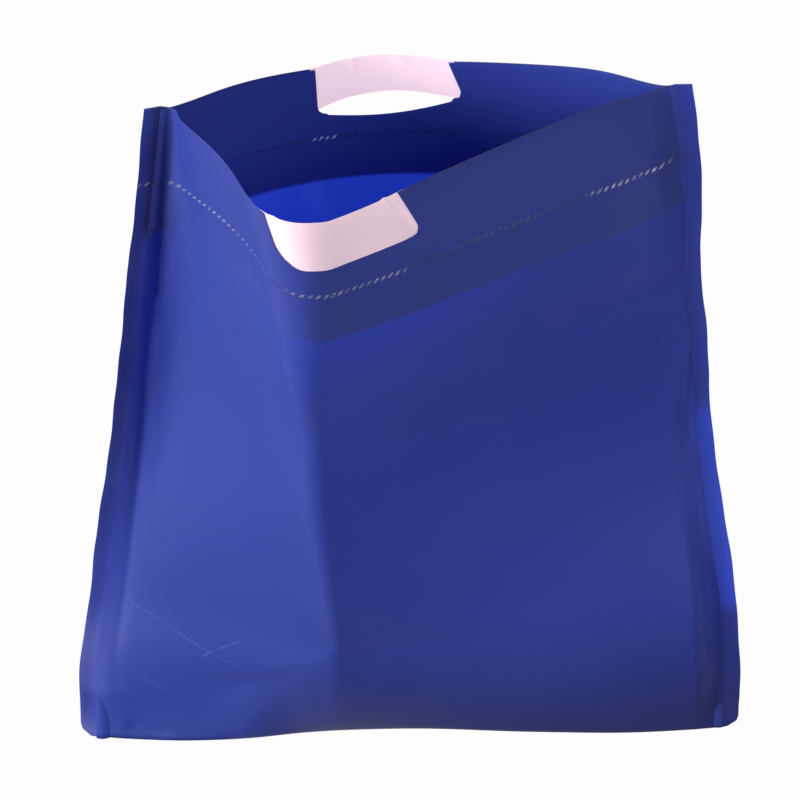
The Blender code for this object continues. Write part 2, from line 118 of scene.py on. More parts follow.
# fineness of the film mesh
SURVEY_COLUMNS = 384
SURVEY_ROWS = 140
LEFT_COLUMNS = 84
NOTCH_COLUMNS = 60
RIGHT_COLUMNS = 110
SIDE_ROWS = 12
CORNER_STEPS = 7
HEM_ROWS = 28
LOWER_ROWS = 120
FLANGE_STEPS = 5
STRIP_COLUMNS = 90
STRIP_ROWS = 30
COLUMN_EASE_ROWS = 9.0        # rows below a notch in which the columns even out
ROW_EASE_ROWS = 10.0          # rows in which they lose the slope of the notch's floor

SHIFT = np.array([0.0, 0.0101, 0.0])      # the solids stand centred over the origin

# camera, from the photograph's viewing angle
CAMERA_AZIMUTH = -1.9
CAMERA_ELEVATION = 35.0
CAMERA_DISTANCE = 3.84
CAMERA_AIM = (-0.005, 0.0101, 0.230)
CAMERA_SPAN = 0.4734          # width seen at that distance
SENSOR_WIDTH = 36.0           # millimetres

# studio
FLOOR_REACH = 14.0
FLOOR_DROP = 0.0004           # the floor lies this far under the bag
WHITE_SHARE = 0.98            # how much of the floor shows as plain white background
WORLD_LIGHT = 0.25            # strength of the world where it lights the bag
# lamps: name, place, aim, size, power
LAMPS = (
    ("key_left", (-2.2, -1.02, 0.82), (0, 0, 0.22), (1.1, 1.0), 116),
    ("fill_right", (1.75, -1.75, 1.8), (0, 0, 0.25), (1.7, 1.4), 50),
    ("back", (0.1, 2.0, 1.7), (0, 0, 0.3), (1.8, 1.2), 42),
)
LOW_SHEEN = ("low_sheen", (-1.9, -1.8, 0.25), (-0.1, 0, 0.12), (1.2, 0.5), 10)


def smooth(x):
    x = np.clip(x, 0.0, 1.0)
    return x * x * (3.0 - 2.0 * x)


def curve(knots, values, x):
    """A smooth curve through a few named values."""
    k = np.array(knots, float)
    y = np.array(values, float)
    h = np.diff(k)
    slope = np.diff(y) / h
    inner = (slope[:-1] * h[1:] + slope[1:] * h[:-1]) / (h[1:] + h[:-1])
    m = np.concatenate([slope[:1], inner, slope[-1:]])
    i = np.clip(np.searchsorted(k, x) - 1, 0, len(k) - 2)
    t = (x - k[i]) / h[i]
    ends = (1 + 2 * t) * (1 - t) ** 2 * y[i] + t * t * (3 - 2 * t) * y[i + 1]
    return ends + h[i] * (t * (1 - t) ** 2 * m[i] + t * t * (t - 1) * m[i + 1])


def closed_sections(tabs, bend_a, bend_b, length, left, right):
    """Plan sections whose own film length just reaches from seam to seam."""
    a = np.full(len(left), 0.35)
    b = np.full(len(left), 0.25)
    goal = right - left
    for _ in range(CLOSING_STEPS):
        heading = tabs + a[:, None] * bend_a + b[:, None] * bend_b
        c, s = np.cos(heading), np.sin(heading)
        miss_x = length * c.mean(1) - goal[:, 0]
        miss_y = length * s.mean(1) - goal[:, 1]
        xa, xb = -length * (s * bend_a).mean(1), -length * (s * bend_b).mean(1)
        ya, yb = length * (c * bend_a).mean(1), length * (c * bend_b).mean(1)
        aa, ab, bb = xa * xa + ya * ya + 1e-9, xa * xb + ya * yb, xb * xb + yb * yb + 1e-9
        pull_a, pull_b = xa * miss_x + ya * miss_y, xb * miss_x + yb * miss_y
        det = aa * bb - ab * ab
        a = np.clip(a - np.clip((bb * pull_a - ab * pull_b) / det, -0.2, 0.2), 0.0, 1.4)
        b = np.clip(b - np.clip((aa * pull_b - ab * pull_a) / det, -0.2, 0.2), 0.0, 1.4)
    heading = tabs + a[:, None] * bend_a + b[:, None] * bend_b
    step = length[:, None] / heading.shape[1]
    points = np.zeros((heading.shape[0], heading.shape[1] + 1, 2))
    points[:, 1:, 0] = np.cumsum(np.cos(heading), 1) * step
    points[:, 1:, 1] = np.cumsum(np.sin(heading), 1) * step
    points += left[:, None]
    share = np.linspace(0, 1, points.shape[1])
    return points + share[None, :, None] * (right - points[:, -1])[:, None]


def base_share(u):
    """Film that the base takes from a panel, at each share of the width."""
    return BASE_DEPTH / 2 * np.sin(np.pi * np.clip(u, 0, 1)) ** 0.8


class Panel:
    """One standing panel: carries flat film positions into space."""

    def __init__(self, points, outward, tab_left, tab_right):
        self.points = points
        self.outward = outward
        normal = np.cross(np.gradient(points, axis=1), np.gradient(points, axis=0))
        normal /= np.linalg.norm(normal, axis=2, keepdims=True)
        for column, angle in ((0, tab_left), (-1, tab_right)):
            normal[:, column] = np.stack([np.sin(angle), -np.cos(angle), 0 * angle], 1)
        self.normal = normal if outward < 0 else -normal

    def sample(self, field, across, share):
        x = np.clip(across / FILM_WIDTH, 0, 1) * SURVEY_COLUMNS
        y = share * SURVEY_ROWS
        i = np.clip(x.astype(int), 0, SURVEY_COLUMNS - 1)
        j = np.clip(np.floor(y).astype(int), 0, SURVEY_ROWS - 1)
        s, t = (x - i)[..., None], (y - j)[..., None]
        low = field[j, i] * (1 - s) + field[j, i + 1] * s
        high = field[j + 1, i] * (1 - s) + field[j + 1, i + 1] * s
        return low * (1 - t) + high * t

    def at(self, across, share, offset):
        n = self.sample(self.normal, across, np.minimum(share, 1.0))
        n = n / np.linalg.norm(n, axis=-1, keepdims=True)
        return self.sample(self.points, across, share) + n * np.asarray(offset)[..., None]


def stand_panels():
    """Front and back panel of the open, standing bag."""
    v = np.linspace(0, 1, SURVEY_ROWS + 1)
    u = np.linspace(0, 1, SURVEY_COLUMNS + 1)
    mid = (u[1:] + u[:-1]) / 2
    half = (FILM_WIDTH - SEAM_SLACK) / 2
    left = np.stack([-half + curve(SEAM_HEIGHTS, LEFT_SEAM_IN, v),
                     curve(LEAN_HEIGHTS, LEFT_SEAM_Y, v)], 1)
    right = np.stack([half - curve(SEAM_HEIGHTS, RIGHT_SEAM_IN, v),
                      curve(LEAN_HEIGHTS, RIGHT_SEAM_Y, v)], 1)
    tab_left = np.radians(curve(LEAN_HEIGHTS, LEFT_TAB_ANGLE, v))
    tab_right = np.radians(curve(LEAN_HEIGHTS, RIGHT_TAB_ANGLE, v))

    leave = smooth((mid - LEFT_TAB) / curve(LEAN_HEIGHTS, LEFT_EASE, v)[:, None])
    arrive = smooth((1 - mid - RIGHT_TAB) / curve(LEAN_HEIGHTS, RIGHT_EASE, v)[:, None])
    place = curve(RIDGE_HEIGHTS, RIDGE_PLACE, v)[:, None]
    reach = curve(RIDGE_HEIGHTS, RIDGE_REACH, v)[:, None]
    turn = smooth((mid[None] - place + reach) / (2 * reach))
    tabs = tab_left[:, None] * (1 - leave) + tab_right[:, None] * (1 - arrive)
    length = FILM_WIDTH * curve(LEAN_HEIGHTS, FRONT_TAKE_UP, v)
    lip_reach = curve(RIDGE_HEIGHTS, LIP_REACH, v)[:, None]
    lip = 1 + RIDGE_LIP * np.exp(-((mid[None] - place) / lip_reach) ** 2)
    bends = leave * arrive * lip
    front = closed_sections(tabs, -bends * (1 - turn), bends * turn, length, left, right)
    line = np.interp(u, FOOT_LINE_ACROSS, FOOT_LINE_HEIGHT)
    line = np.convolve(np.pad(line, FOOT_LINE_BLUR // 2, mode="edge"),
                       np.full(FOOT_LINE_BLUR, 1 / FOOT_LINE_BLUR), mode="valid")
    belly_across = smooth((u - BELLY_ACROSS) / 0.25) * smooth((1 - u) / 0.15)
    belly_up = smooth((v - BELLY_UP) / 0.4) * (1 - 0.9 * smooth((v - 0.86) / 0.14))
    front[:, :, 1] -= FRONT_BELLY * belly_up[:, None] * belly_across[None]
    swell_across = smooth((u - 0.50) / 0.36) * smooth((0.990 - u) / 0.035)
    swell_reach = np.where(v < SWELL_HEIGHT, SWELL_BELOW, SWELL_ABOVE)
    swell_up = np.exp(-((v - SWELL_HEIGHT) / swell_reach) ** 2) * smooth(v / 0.05)
    front[:, :, 1] -= RIGHT_SWELL * swell_up[:, None] * swell_across[None]
    foot = curve(FOOT_ACROSS, FOOT_Y, u)
    start = np.array([np.interp(line[i], v, front[:, i, 1]) for i in range(len(u))])
    t = np.clip(v[:, None] / line[None], 0, 1)
    low = foot + (start - foot) * (FOOT_BOW * t - (FOOT_BOW - 1) * t * t)
    front[:, :, 1] = np.where(t < 1, low, front[:, :, 1])

    leave = smooth(mid / BACK_EASE)[None]
    arrive = smooth((1 - mid) / BACK_EASE)[None]
    tabs = tab_left[:, None] * (1 - leave) + tab_right[:, None] * (1 - arrive)
    bow = (1 - 2 * smooth((mid - BACK_BOW_START) / BACK_BOW_WIDTH))[None]
    length = FILM_WIDTH * curve(LEAN_HEIGHTS, BACK_TAKE_UP, v)
    bends = leave * arrive
    back = closed_sections(tabs, bends * np.clip(bow, 0, 1), bends * np.clip(bow, -1, 0),
                           length, left, right)

    drawn = (1 - LEFT_PUCKER * np.exp(-(u / LEFT_PUCKER_REACH) ** 2)
             - RIGHT_PUCKER * np.exp(-((1 - u) / RIGHT_PUCKER_REACH) ** 2))
    at_ridge = RIDGE_PUCKER * np.exp(-((u - RIDGE_PUCKER_PLACE) / RIDGE_PUCKER_REACH) ** 2)
    panels = []
    for plan, outward in ((front, -1), (back, 1)):
        kept = drawn - (at_ridge if outward < 0 else 0.0)
        film = (PANEL_HEIGHT - base_share(u)) * kept / SURVEY_ROWS
        sideways = (np.diff(plan, axis=0) ** 2).sum(2)
        rise = np.sqrt(np.maximum(film[None] ** 2 - sideways, LEAST_RISE * film[None] ** 2))
        z = np.zeros(plan.shape[:2])
        z[1:] = np.cumsum(rise, 0)
        points = np.concatenate([plan, z[..., None]], 2)
        panels.append(Panel(points, outward, tab_left, tab_right))
    return panels


FOLD_FADE = 0.35              # share of a fold's run over which it fades
# folds of the front panel: start, end (across, height above the base), rise, widths
FRONT_FOLDS = (
    ((0.0085, 0.520), (0.0115, 0.090), -0.0018, 0.0045, 0.0035),
    ((0.011, 0.375), (0.016, 0.300), -0.0016, 0.006, 0.006),
    ((0.004, 0.350), (0.012, 0.320), -0.0012, 0.004, 0.008),
    ((0.378, 0.318), (0.300, 0.300), -0.0030, 0.010, 0.016),
    ((0.341, 0.447), (0.376, 0.385), -0.0010, 0.008, 0.012),
    ((0.146, 0.092), (0.086, 0.004), 0.0034, 0.014, 0.034),
    ((0.384, 0.330), (0.345, 0.345), 0.0010, 0.008, 0.010),
    ((0.380, 0.285), (0.372, 0.225), 0.0012, 0.003, 0.006),
    ((0.384, 0.240), (0.376, 0.195), -0.0010, 0.004, 0.005),
    ((0.374, 0.050), (0.384, 0.018), 0.0016, 0.004, 0.007),
    ((0.020, 0.008), (0.044, 0.000), -0.0022, 0.005, 0.004),
)


def creases(across, height):
    """Outward relief of the front panel, from its folds and puckers.

    Each fold runs from one point to another of the film and fades at its ends; it has a
    rise, and its own width on each side.
    """
    relief = np.zeros_like(across)
    for (x0, h0), (x1, h1), rise, wide_left, wide_right in FRONT_FOLDS:
        dx, dh = x1 - x0, h1 - h0
        run = math.hypot(dx, dh)
        along = ((across - x0) * dx + (height - h0) * dh) / run
        off = ((across - x0) * dh - (height - h0) * dx) / run
        wide = np.where(off < 0, wide_left, wide_right)
        fade = FOLD_FADE * run
        shown = smooth(along / fade + 0.5) * smooth((run - along) / fade + 0.5)
        relief += rise * shown * np.exp(-np.abs(off / wide) ** 1.6)
    return relief


class Notch:
    """One handle notch on the flat film."""

    def __init__(self, sizes):
        (self.left, self.right, self.left_slant, self.right_slant, self.left_depth,
         self.right_depth, self.left_radius, self.right_radius, self.sag) = sizes

    def left_at(self, below):
        return self.left + self.left_slant * np.clip(below, 0.0, self.left_depth)

    def right_at(self, below):
        return self.right + self.right_slant * np.clip(below, 0.0, self.right_depth)

    def floor_at(self, across):
        """Depth of the notch's floor between its two corners."""
        left, right = self.left_at(self.left_depth), self.right_at(self.right_depth)
        t = np.clip((across - left) / (right - left), 0, 1)
        return (self.left_depth + (self.right_depth - self.left_depth) * t
                + self.sag * np.sin(np.pi * t))


def film_layout(notch, rows_below, stop_at_hem):
    """Flat positions of a ply's vertices: across, share of height, below the rim.

    They come with the last row beside the notch and its first and last column.
    """
    n = CORNER_STEPS
    last = SIDE_ROWS + n
    first_inner = LEFT_COLUMNS
    last_inner = LEFT_COLUMNS + NOTCH_COLUMNS
    columns = last_inner + RIGHT_COLUMNS + 1
    turn = np.concatenate([np.zeros(SIDE_ROWS), np.linspace(0, math.pi / 4, n + 1)])

    def side(radius, depth):
        """Depths of the rows down a notch's side and half of its corner."""
        straight = np.linspace(0, depth - radius, SIDE_ROWS, endpoint=False)
        arc = depth - radius * (1 - np.sin(turn[SIDE_ROWS:]))
        return np.concatenate([straight, arc])

    left_d = side(notch.left_radius, notch.left_depth)
    right_d = side(notch.right_radius, notch.right_depth)
    left_x = notch.left_at(left_d) + notch.left_radius * (1 - np.cos(turn))
    right_x = notch.right_at(right_d) - notch.right_radius * (1 - np.cos(turn))

    # floor of the notch, left corner to right corner
    tilt = np.linspace(math.pi / 4, math.pi / 2, n + 1)
    foot_l, foot_r = notch.left_at(notch.left_depth), notch.right_at(notch.right_depth)
    flat = np.linspace(foot_l + notch.left_radius, foot_r - notch.right_radius,
                       NOTCH_COLUMNS - 2 * n + 1)
    floor_x = np.concatenate([foot_l + notch.left_radius * (1 - np.cos(tilt)), flat[1:-1],
                              foot_r - notch.right_radius * (1 - np.cos(tilt[::-1]))])
    floor_d = np.concatenate([notch.left_depth - notch.left_radius * (1 - np.sin(tilt)),
                              notch.floor_at(flat[1:-1]),
                              notch.right_depth - notch.right_radius * (1 - np.sin(tilt[::-1]))])
    depth = max(notch.left_depth, notch.right_depth)
    hem = np.linspace(depth, HEM_DEPTH, HEM_ROWS + 1)[1:]
    total = last + 1 + HEM_ROWS + (0 if stop_at_hem else rows_below)
    across = np.full((total, columns), np.nan)
    below = np.full((total, columns), np.nan)
    t_left = np.linspace(0, 1, first_inner + 1)
    t_left = 0.6 * t_left + 0.4 * t_left ** 2
    t_right = np.linspace(0, 1, RIGHT_COLUMNS + 1)
    for row in range(total):
        if row > last:
            ease = float(smooth((row - last) / COLUMN_EASE_ROWS))
            lx = left_x[last] + (foot_l - left_x[last]) * ease
            rx = right_x[last] + (foot_r - right_x[last]) * ease
            even = np.linspace(lx, rx, NOTCH_COLUMNS + 1)
            across[row, first_inner:last_inner + 1] = floor_x + (even - floor_x) * ease
            step = row - last - 1
            if step < HEM_ROWS:
                settle = float(smooth((step + 1) / ROW_EASE_ROWS))
                start = np.full(columns, depth)
                start[first_inner:last_inner + 1] = floor_d
                start[:first_inner] = left_d[last]
                start[last_inner + 1:] = right_d[last]
                below[row] = hem[step] + (start - depth) * (1 - settle)
        else:
            lx, rx = left_x[row], right_x[row]
            below[row, :first_inner + 1] = left_d[row]
            below[row, last_inner:] = right_d[row]
            if row == last:
                across[row, first_inner:last_inner + 1] = floor_x
                below[row, first_inner:last_inner + 1] = floor_d
        across[row, :first_inner + 1] = lx * t_left
        across[row, last_inner:] = rx + (FILM_WIDTH - rx) * t_right
    whole = PANEL_HEIGHT - base_share(across / FILM_WIDTH)
    share = 1.0 - below / whole
    if not stop_at_hem:
        start = last + HEM_ROWS
        k = np.arange(1, rows_below + 1)[:, None] / rows_below
        share[start + 1:] = share[start][None] * (1 - k)
        below[start + 1:] = whole[start + 1:] * (1 - share[start + 1:])
    return across, share, below, last, first_inner, last_inner


class Sheet:
    """Collects vertices, film coordinates and faces of one mesh."""

    def __init__(self):
        self.points = []
        self.film = []
        self.plies = []
        self.faces = []

    def add(self, points, across, below, plies):
        start = sum(len(p) for p in self.points)
        points = np.asarray(points).reshape(-1, 3)
        self.points.append(points)
        self.film.append(np.stack([np.ravel(across), np.ravel(below)], 1))
        self.plies.append(np.broadcast_to(plies, len(points)).astype(float))
        return start

    def grid(self, index, keep, flip):
        for r in range(index.shape[0] - 1):
            for c in range(index.shape[1] - 1):
                if not keep[r, c]:
                    continue
                loop = (index[r, c], index[r, c + 1], index[r + 1, c + 1], index[r + 1, c])
                self.faces.append(loop[::-1] if flip else loop)

    def build(self, name, material):
        points = np.concatenate(self.points)
        film = np.concatenate(self.film)
        plies = np.concatenate(self.plies)
        used = np.zeros(len(points), bool)
        for face in self.faces:
            used[list(face)] = True
        new = np.cumsum(used) - 1
        mesh = bpy.data.meshes.new(name)
        mesh.from_pydata(points[used].tolist(), [],
                         [tuple(int(new[i]) for i in face) for face in self.faces])
        layer = mesh.uv_layers.new(name="film")
        corners = np.zeros(len(mesh.loops), int)
        mesh.loops.foreach_get("vertex_index", corners)
        layer.data.foreach_set("uv", film[used][corners].ravel())
        attribute = mesh.attributes.new("plies", "FLOAT", "POINT")
        attribute.data.foreach_set("value", plies[used])
        mesh.polygons.foreach_set("use_smooth", [True] * len(mesh.polygons))
        mesh.materials.append(material)
        mesh.update()
        obj = bpy.data.objects.new(name, mesh)
        bpy.context.scene.collection.objects.link(obj)
        return obj


def add_panel(sheet, panel, notch):
    """Both plies of one panel, joined by the fold along the rim.

    Returns the outer ply: its vertex numbers, across, below the rim, and its points.
    """
    flip = panel.outward > 0
    rows = {}
    for ply in ("outer", "hem"):
        across, share, below, last, first_inner, last_inner = film_layout(
            notch, LOWER_ROWS, ply == "hem")
        a, s, d = (np.nan_to_num(x, nan=0.5) for x in (across, share, below))
        room = np.minimum(a, FILM_WIDTH - a)
        offset = OUTER_PLY * smooth(room / SEAM_EASE)
        height = (PANEL_HEIGHT - base_share(a / FILM_WIDTH)) * s
        if panel.outward < 0:
            offset = offset + creases(a, height) * smooth(height / GROUND_EASE)
        if ply == "hem":
            offset = offset - PLY_GAP * smooth(d / RIM_EASE) * smooth(room / HEM_SEAM_EASE)
        points = panel.at(a, s, offset) + SHIFT
        if ply == "outer":
            points[-1, :, 2] = 0.0
        plies = np.where(d <= HEM_DEPTH + 1e-6, 2.0, 1.0).ravel()
        start = sheet.add(points, a + (BACK_FILM if flip else 0.0), d, plies)
        index = start + np.arange(a.size).reshape(a.shape)
        keep = np.ones((a.shape[0] - 1, a.shape[1] - 1), bool)
        keep[:last, first_inner:last_inner] = False
        sheet.grid(index, keep, flip != (ply == "hem"))
        rows[ply] = index
        if ply == "outer":
            outer = (index, a, d, points)
    top, inner = rows["outer"][0], rows["hem"][0]
    for c in range(len(top) - 1):
        if first_inner <= c < last_inner:
            continue
        loop = (top[c], inner[c], inner[c + 1], top[c + 1])
        sheet.faces.append(loop[::-1] if flip else loop)
    return outer


def add_flange(sheet, panel, outer, column, side):
    """The welded edge outside one side weld."""
    index, a, d, points = outer
    share = 1.0 - d[:, column] / PANEL_HEIGHT
    height = share * PANEL_HEIGHT
    normal = panel.sample(panel.normal, a[:, column], np.clip(share, 0, 1))
    along = np.stack([-normal[:, 1], normal[:, 0], 0 * normal[:, 0]], 1)
    along /= np.linalg.norm(along, axis=1, keepdims=True)
    up = np.clip(height / CORNER_ROUND, 0, 1)
    corner = 0.35 + 0.65 * np.sqrt(1 - (1 - up) ** 2)
    wave = edge_wave(height, side)
    outward = np.linspace(0, 1, FLANGE_STEPS + 1)
    strip = []
    for t in outward:
        width = (FLANGE_WIDTH + wave[:, 0]) * corner * t
        co = points[:, column] + along * side * width[:, None]
        co[:, 1] += wave[:, 1] * t
        strip.append(co)
    strip = np.stack(strip, 1)
    across = a[:, column, None] + side * FLANGE_WIDTH * outward
    below = np.repeat(d[:, column, None], FLANGE_STEPS + 1, 1)
    # the right edge lets light through as a single ply over part of its height
    low, high = CLEAR_EDGE
    lit = smooth((height - low) / 0.02) * smooth((high - height) / 0.02) * (side > 0)
    plies = np.repeat(FLANGE_PLIES - 2.0 * lit, FLANGE_STEPS + 1)
    start = sheet.add(strip, across, below, plies)
    grid = start + np.arange(len(index) * (FLANGE_STEPS + 1)).reshape(-1, FLANGE_STEPS + 1)
    sheet.grid(grid, np.ones((len(index) - 1, FLANGE_STEPS), bool), side < 0)


def build_bag(panels, notches, material):
    sheet = Sheet()
    outer = [add_panel(sheet, panel, notch) for panel, notch in zip(panels, notches)]

    # base: lens between the panels' lower edges
    front, back = outer[0][0][-1], outer[1][0][-1]
    for c in range(len(front) - 1):
        sheet.faces.append((front[c], front[c + 1], back[c + 1], back[c]))

    for column, side in ((0, -1.0), (-1, 1.0)):
        add_flange(sheet, panels[0], outer[0], column, side)
    return sheet.build("bag_skin", material)


def edge_wave(height, side):
    """How the welded edge wanders: its width and its sway, up the bag."""
    h = height * 1000
    width = 0.0003 * np.sin(h / 17.0) + 0.0002 * np.sin(h / 6.3 + 1.0)
    sway = 0.0006 * np.sin(h / 23.0 + side) + 0.0004 * np.sin(h / 9.0)
    return np.stack([width, sway], 1)


def build_strip(name, panel, notch, rise, lift, wave, folds, material):
    """A pink strip between the hem's plies, free along its top and lower edges."""
    sheet = Sheet()
    s = np.linspace(0, 1, STRIP_COLUMNS + 1)[:, None]
    r = np.linspace(0, 1, STRIP_ROWS + 1)[None]
    arch = np.sin(np.pi * s)
    top = -rise * arch - wave * np.sin(2 * np.pi * s)
    bottom = notch.floor_at(notch.left + (notch.right - notch.left) * s)
    bottom = bottom + (FLOOR_LAP if lift == 0 else 0.0) - lift * arch ** 0.8
    below = top + (bottom - top) * r
    left = notch.left_at(below) - STRIP_LAP
    right = notch.right_at(below) + STRIP_LAP
    across = left + (right - left) * s
    whole = PANEL_HEIGHT - base_share(across / FILM_WIDTH)
    offset = np.full_like(across, OUTER_PLY - PLY_GAP / 2)
    for s0, s1, depth, wide in folds:
        offset = offset - depth * np.exp(-((s - s0 - (s1 - s0) * r) / (wide * (0.5 + r))) ** 2)
    points = panel.at(across, 1 - below / whole, offset) + SHIFT
    start = sheet.add(points, across, below, 1.0)
    index = start + np.arange(across.size).reshape(across.shape)
    sheet.grid(index, np.ones((STRIP_COLUMNS, STRIP_ROWS), bool), panel.outward < 0)
    return sheet.build(name, material)


class Nodes:
    """Small helper for building a material's node tree."""

    def __init__(self, name):
        self.material = bpy.data.materials.new(name)
        self.material.use_nodes = True
        self.tree = self.material.node_tree
        self.shader = self.tree.nodes["Principled BSDF"]

    def node(self, kind, **settings):
        node = self.tree.nodes.new(kind)
        for key, value in settings.items():
            setattr(node, key, value)
        return node

    def link(self, a, b):
        self.tree.links.new(a, b)

    def math(self, operation, a, b=None, c=None, clamp=False):
        node = self.node("ShaderNodeMath", operation=operation, use_clamp=clamp)
        for socket, value in zip(node.inputs, (a, b, c)):
            if value is None:
                continue
            if isinstance(value, (int, float)):
                socket.default_value = value
            else:
                self.link(value, socket)
        return node.outputs[0]

    def noise(self, vector, frequency, detail):
        node = self.node("ShaderNodeTexNoise")
        node.inputs["Scale"].default_value = 1.0
        node.inputs["Detail"].default_value = detail
        self.link(self.scaled(vector, frequency), node.inputs["Vector"])
        return node.outputs["Fac"]

    def near(self, value, centre, reach):
        """1 at the centre, falling to 0 at its reach."""
        off = self.math("ABSOLUTE", self.math("SUBTRACT", value, centre))
        return self.math("SUBTRACT", 1.0, self.math("DIVIDE", off, reach), clamp=True)

    def show_through(self, colour, share):
        """Blend the surface with the light that shows through the film, and put it out."""
        glow = self.node("ShaderNodeBsdfTranslucent")
        blend = self.node("ShaderNodeMixShader")
        for socket, value in ((glow.inputs["Color"], colour), (blend.inputs["Fac"], share)):
            if isinstance(value, (float, tuple)):
                socket.default_value = value
            else:
                self.link(value, socket)
        self.link(self.shader.outputs[0], blend.inputs[1])
        self.link(glow.outputs[0], blend.inputs[2])
        self.link(blend.outputs[0], self.tree.nodes["Material Output"].inputs["Surface"])

    def bump(self, height, strength, distance):
        node = self.node("ShaderNodeBump")
        node.inputs["Strength"].default_value = strength
        node.inputs["Distance"].default_value = distance
        self.link(height, node.inputs["Height"])
        self.link(node.outputs["Normal"], self.shader.inputs["Normal"])

    def mix(self, factor, a, b):
        node = self.node("ShaderNodeMix", data_type="RGBA")
        for socket, value in ((node.inputs["Factor"], factor), (node.inputs["A"], a),
                              (node.inputs["B"], b)):
            if isinstance(value, (int, float, tuple)):
                socket.default_value = value
            else:
                self.link(value, socket)
        return node.outputs["Result"]

    def scaled(self, vector, scale):
        node = self.node("ShaderNodeMapping")
        node.inputs["Scale"].default_value = scale
        self.link(vector, node.inputs["Vector"])
        return node.outputs["Vector"]


# where the dashes of the side-to-side weld catch the light: across, half length, share
WELD_GLINTS = (
    (-0.003, 0.009, 1.0), (0.050, 0.060, 0.34), (0.150, 0.030, 0.50), (0.186, 0.014, 0.75),
    (0.262, 0.045, 0.10), (0.340, 0.022, 0.80), (0.366, 0.012, 0.90), (1.137, 0.010, 1.0),
)
WELD_HALF = 0.0016            # half width of the weld's dashes
WELD_PITCH = 0.0048
WELD_SLANT = 0.8              # how far a dash leans across for each metre below the rim
RIM_HIGHLIGHT_REACH = 0.0012             # painted highlight: a light line along the fold at the rim, where the fold faces up
FOOT_SHADE = 0.62             # shade that gathers towards the foot of the front panel
FOOT_SHADE_TOP = 0.440        # where it is full, below the rim
FOOT_SHADE_TALL = 0.085
FOOT_SHADE_LEFT = 0.085       # across, where it starts
FILM_ROUGHNESS = 0.42
FILM_GLOSS = 0.28
# darkest and lightest blue of single and of double film, and the light through them
SINGLE_BLUES = (0.028, 0.049, 0.240, 1), (0.031, 0.055, 0.260, 1)
DOUBLE_BLUES = (0.021, 0.036, 0.235, 1), (0.024, 0.041, 0.255, 1)
SINGLE_GLOW = (0.012, 0.040, 0.560, 1)
DOUBLE_GLOW = (0.006, 0.016, 0.300, 1)
SHADE_GLOW = (0.0, 0.0, 0.02, 1)
PINKS = (0.90, 0.66, 0.735, 1), (0.93, 0.69, 0.76, 1)
PINK_GLOW = (0.95, 0.70, 0.78, 1)
PRESSED_BLUE = (0.010, 0.012, 0.070, 1)
GLINT = (0.62, 0.64, 0.80, 1)
SHADE_BLUE = (0.004, 0.004, 0.045, 1)
# colour of the scratches and of the painted highlight streak on the back panel
SCRATCH_AND_SHEEN_BLUE = (0.20, 0.24, 0.50, 1)
# painted highlight of the fold along the rim
RIM_HIGHLIGHT_BLUE = (0.16, 0.19, 0.48, 1)
# shade in the welded edges: centre across, half width, lowest point below the rim, share
TAB_SHADES = (
    (0.000, 0.0065, 0.096, 0.95), (-0.006, 0.006, 0.50, 0.45), (0.381, 0.013, 0.090, 0.35),
    (0.386, 0.005, 0.50, 0.25),
)
# thin light scratches, and a painted highlight streak on the back panel (the last one): start,
# end (across, below the rim), half width, share
SCRATCH_AND_SHEEN_LINES = (
    ((0.009, 0.361), (0.040, 0.369), 0.0006, 0.22), ((0.040, 0.369), (0.072, 0.380), 0.0006, 0.26),
    ((0.072, 0.380), (0.092, 0.382), 0.0006, 0.20), ((0.027, 0.407), (0.043, 0.416), 0.0007, 0.20),
    ((0.091, 0.362), (0.073, 0.376), 0.0008, 0.22), ((0.073, 0.376), (0.065, 0.384), 0.0009, 0.28),
    ((1.128, 0.082), (1.150, 0.135), 0.0120, 0.26),
)


def weld_knurl(n, uv, across, below):
    """The pressed weld: slanted dashes, some of them broken."""
    from_weld = n.math("SUBTRACT", below, WELD_DEPTH)
    band = n.math("SUBTRACT", 1.0, n.math("DIVIDE", n.math("ABSOLUTE", from_weld), WELD_HALF),
                  clamp=True)
    band = n.math("MULTIPLY", band, 2.0, clamp=True)
    slant = n.math("MULTIPLY_ADD", from_weld, WELD_SLANT, across)
    dash = n.math("SINE", n.math("MULTIPLY", slant, 2 * math.pi / WELD_PITCH))
    dash = n.math("MULTIPLY_ADD", dash, 2.0, 0.2, clamp=True)
    broken = n.noise(uv, (210.0, 600.0, 1.0), 3.0)
    whole = n.math("MULTIPLY_ADD", broken, 3.2, -0.9, clamp=True)
    return n.math("MULTIPLY", band, n.math("MULTIPLY", dash, whole))


def weld_glint(n, across):
    """How much of the light the dashes catch, across both panels."""
    glint = 0.0
    for centre, reach, amount in WELD_GLINTS:
        near = n.math("SQRT", n.near(across, centre, reach))
        glint = n.math("MAXIMUM", glint, n.math("MULTIPLY", near, amount))
    return glint


def film_shade(n, across, below):
    """Shade in the welded edges and at the foot of the front panel."""
    shade = 0.0
    for centre, reach, lowest, amount in TAB_SHADES:
        near = n.math("SQRT", n.near(across, centre, reach))
        high = n.math("DIVIDE", n.math("SUBTRACT", lowest, below), 0.012, clamp=True)
        tab = n.math("MULTIPLY", n.math("MULTIPLY", near, high), amount)
        shade = n.math("MAXIMUM", tab, shade)
    rise = n.math("DIVIDE", n.math("SUBTRACT", FOOT_SHADE_TOP, below), FOOT_SHADE_TALL)
    low = n.math("SUBTRACT", 1.0, n.math("MAXIMUM", rise, 0.0), clamp=True)
    inward = n.math("DIVIDE", n.math("SUBTRACT", across, FOOT_SHADE_LEFT), 0.07, clamp=True)
    front = n.math("LESS_THAN", across, BACK_FILM / 2)
    low = n.math("MULTIPLY", n.math("MULTIPLY", low, inward),
                 n.math("MULTIPLY", front, FOOT_SHADE))
    return n.math("MAXIMUM", shade, low)


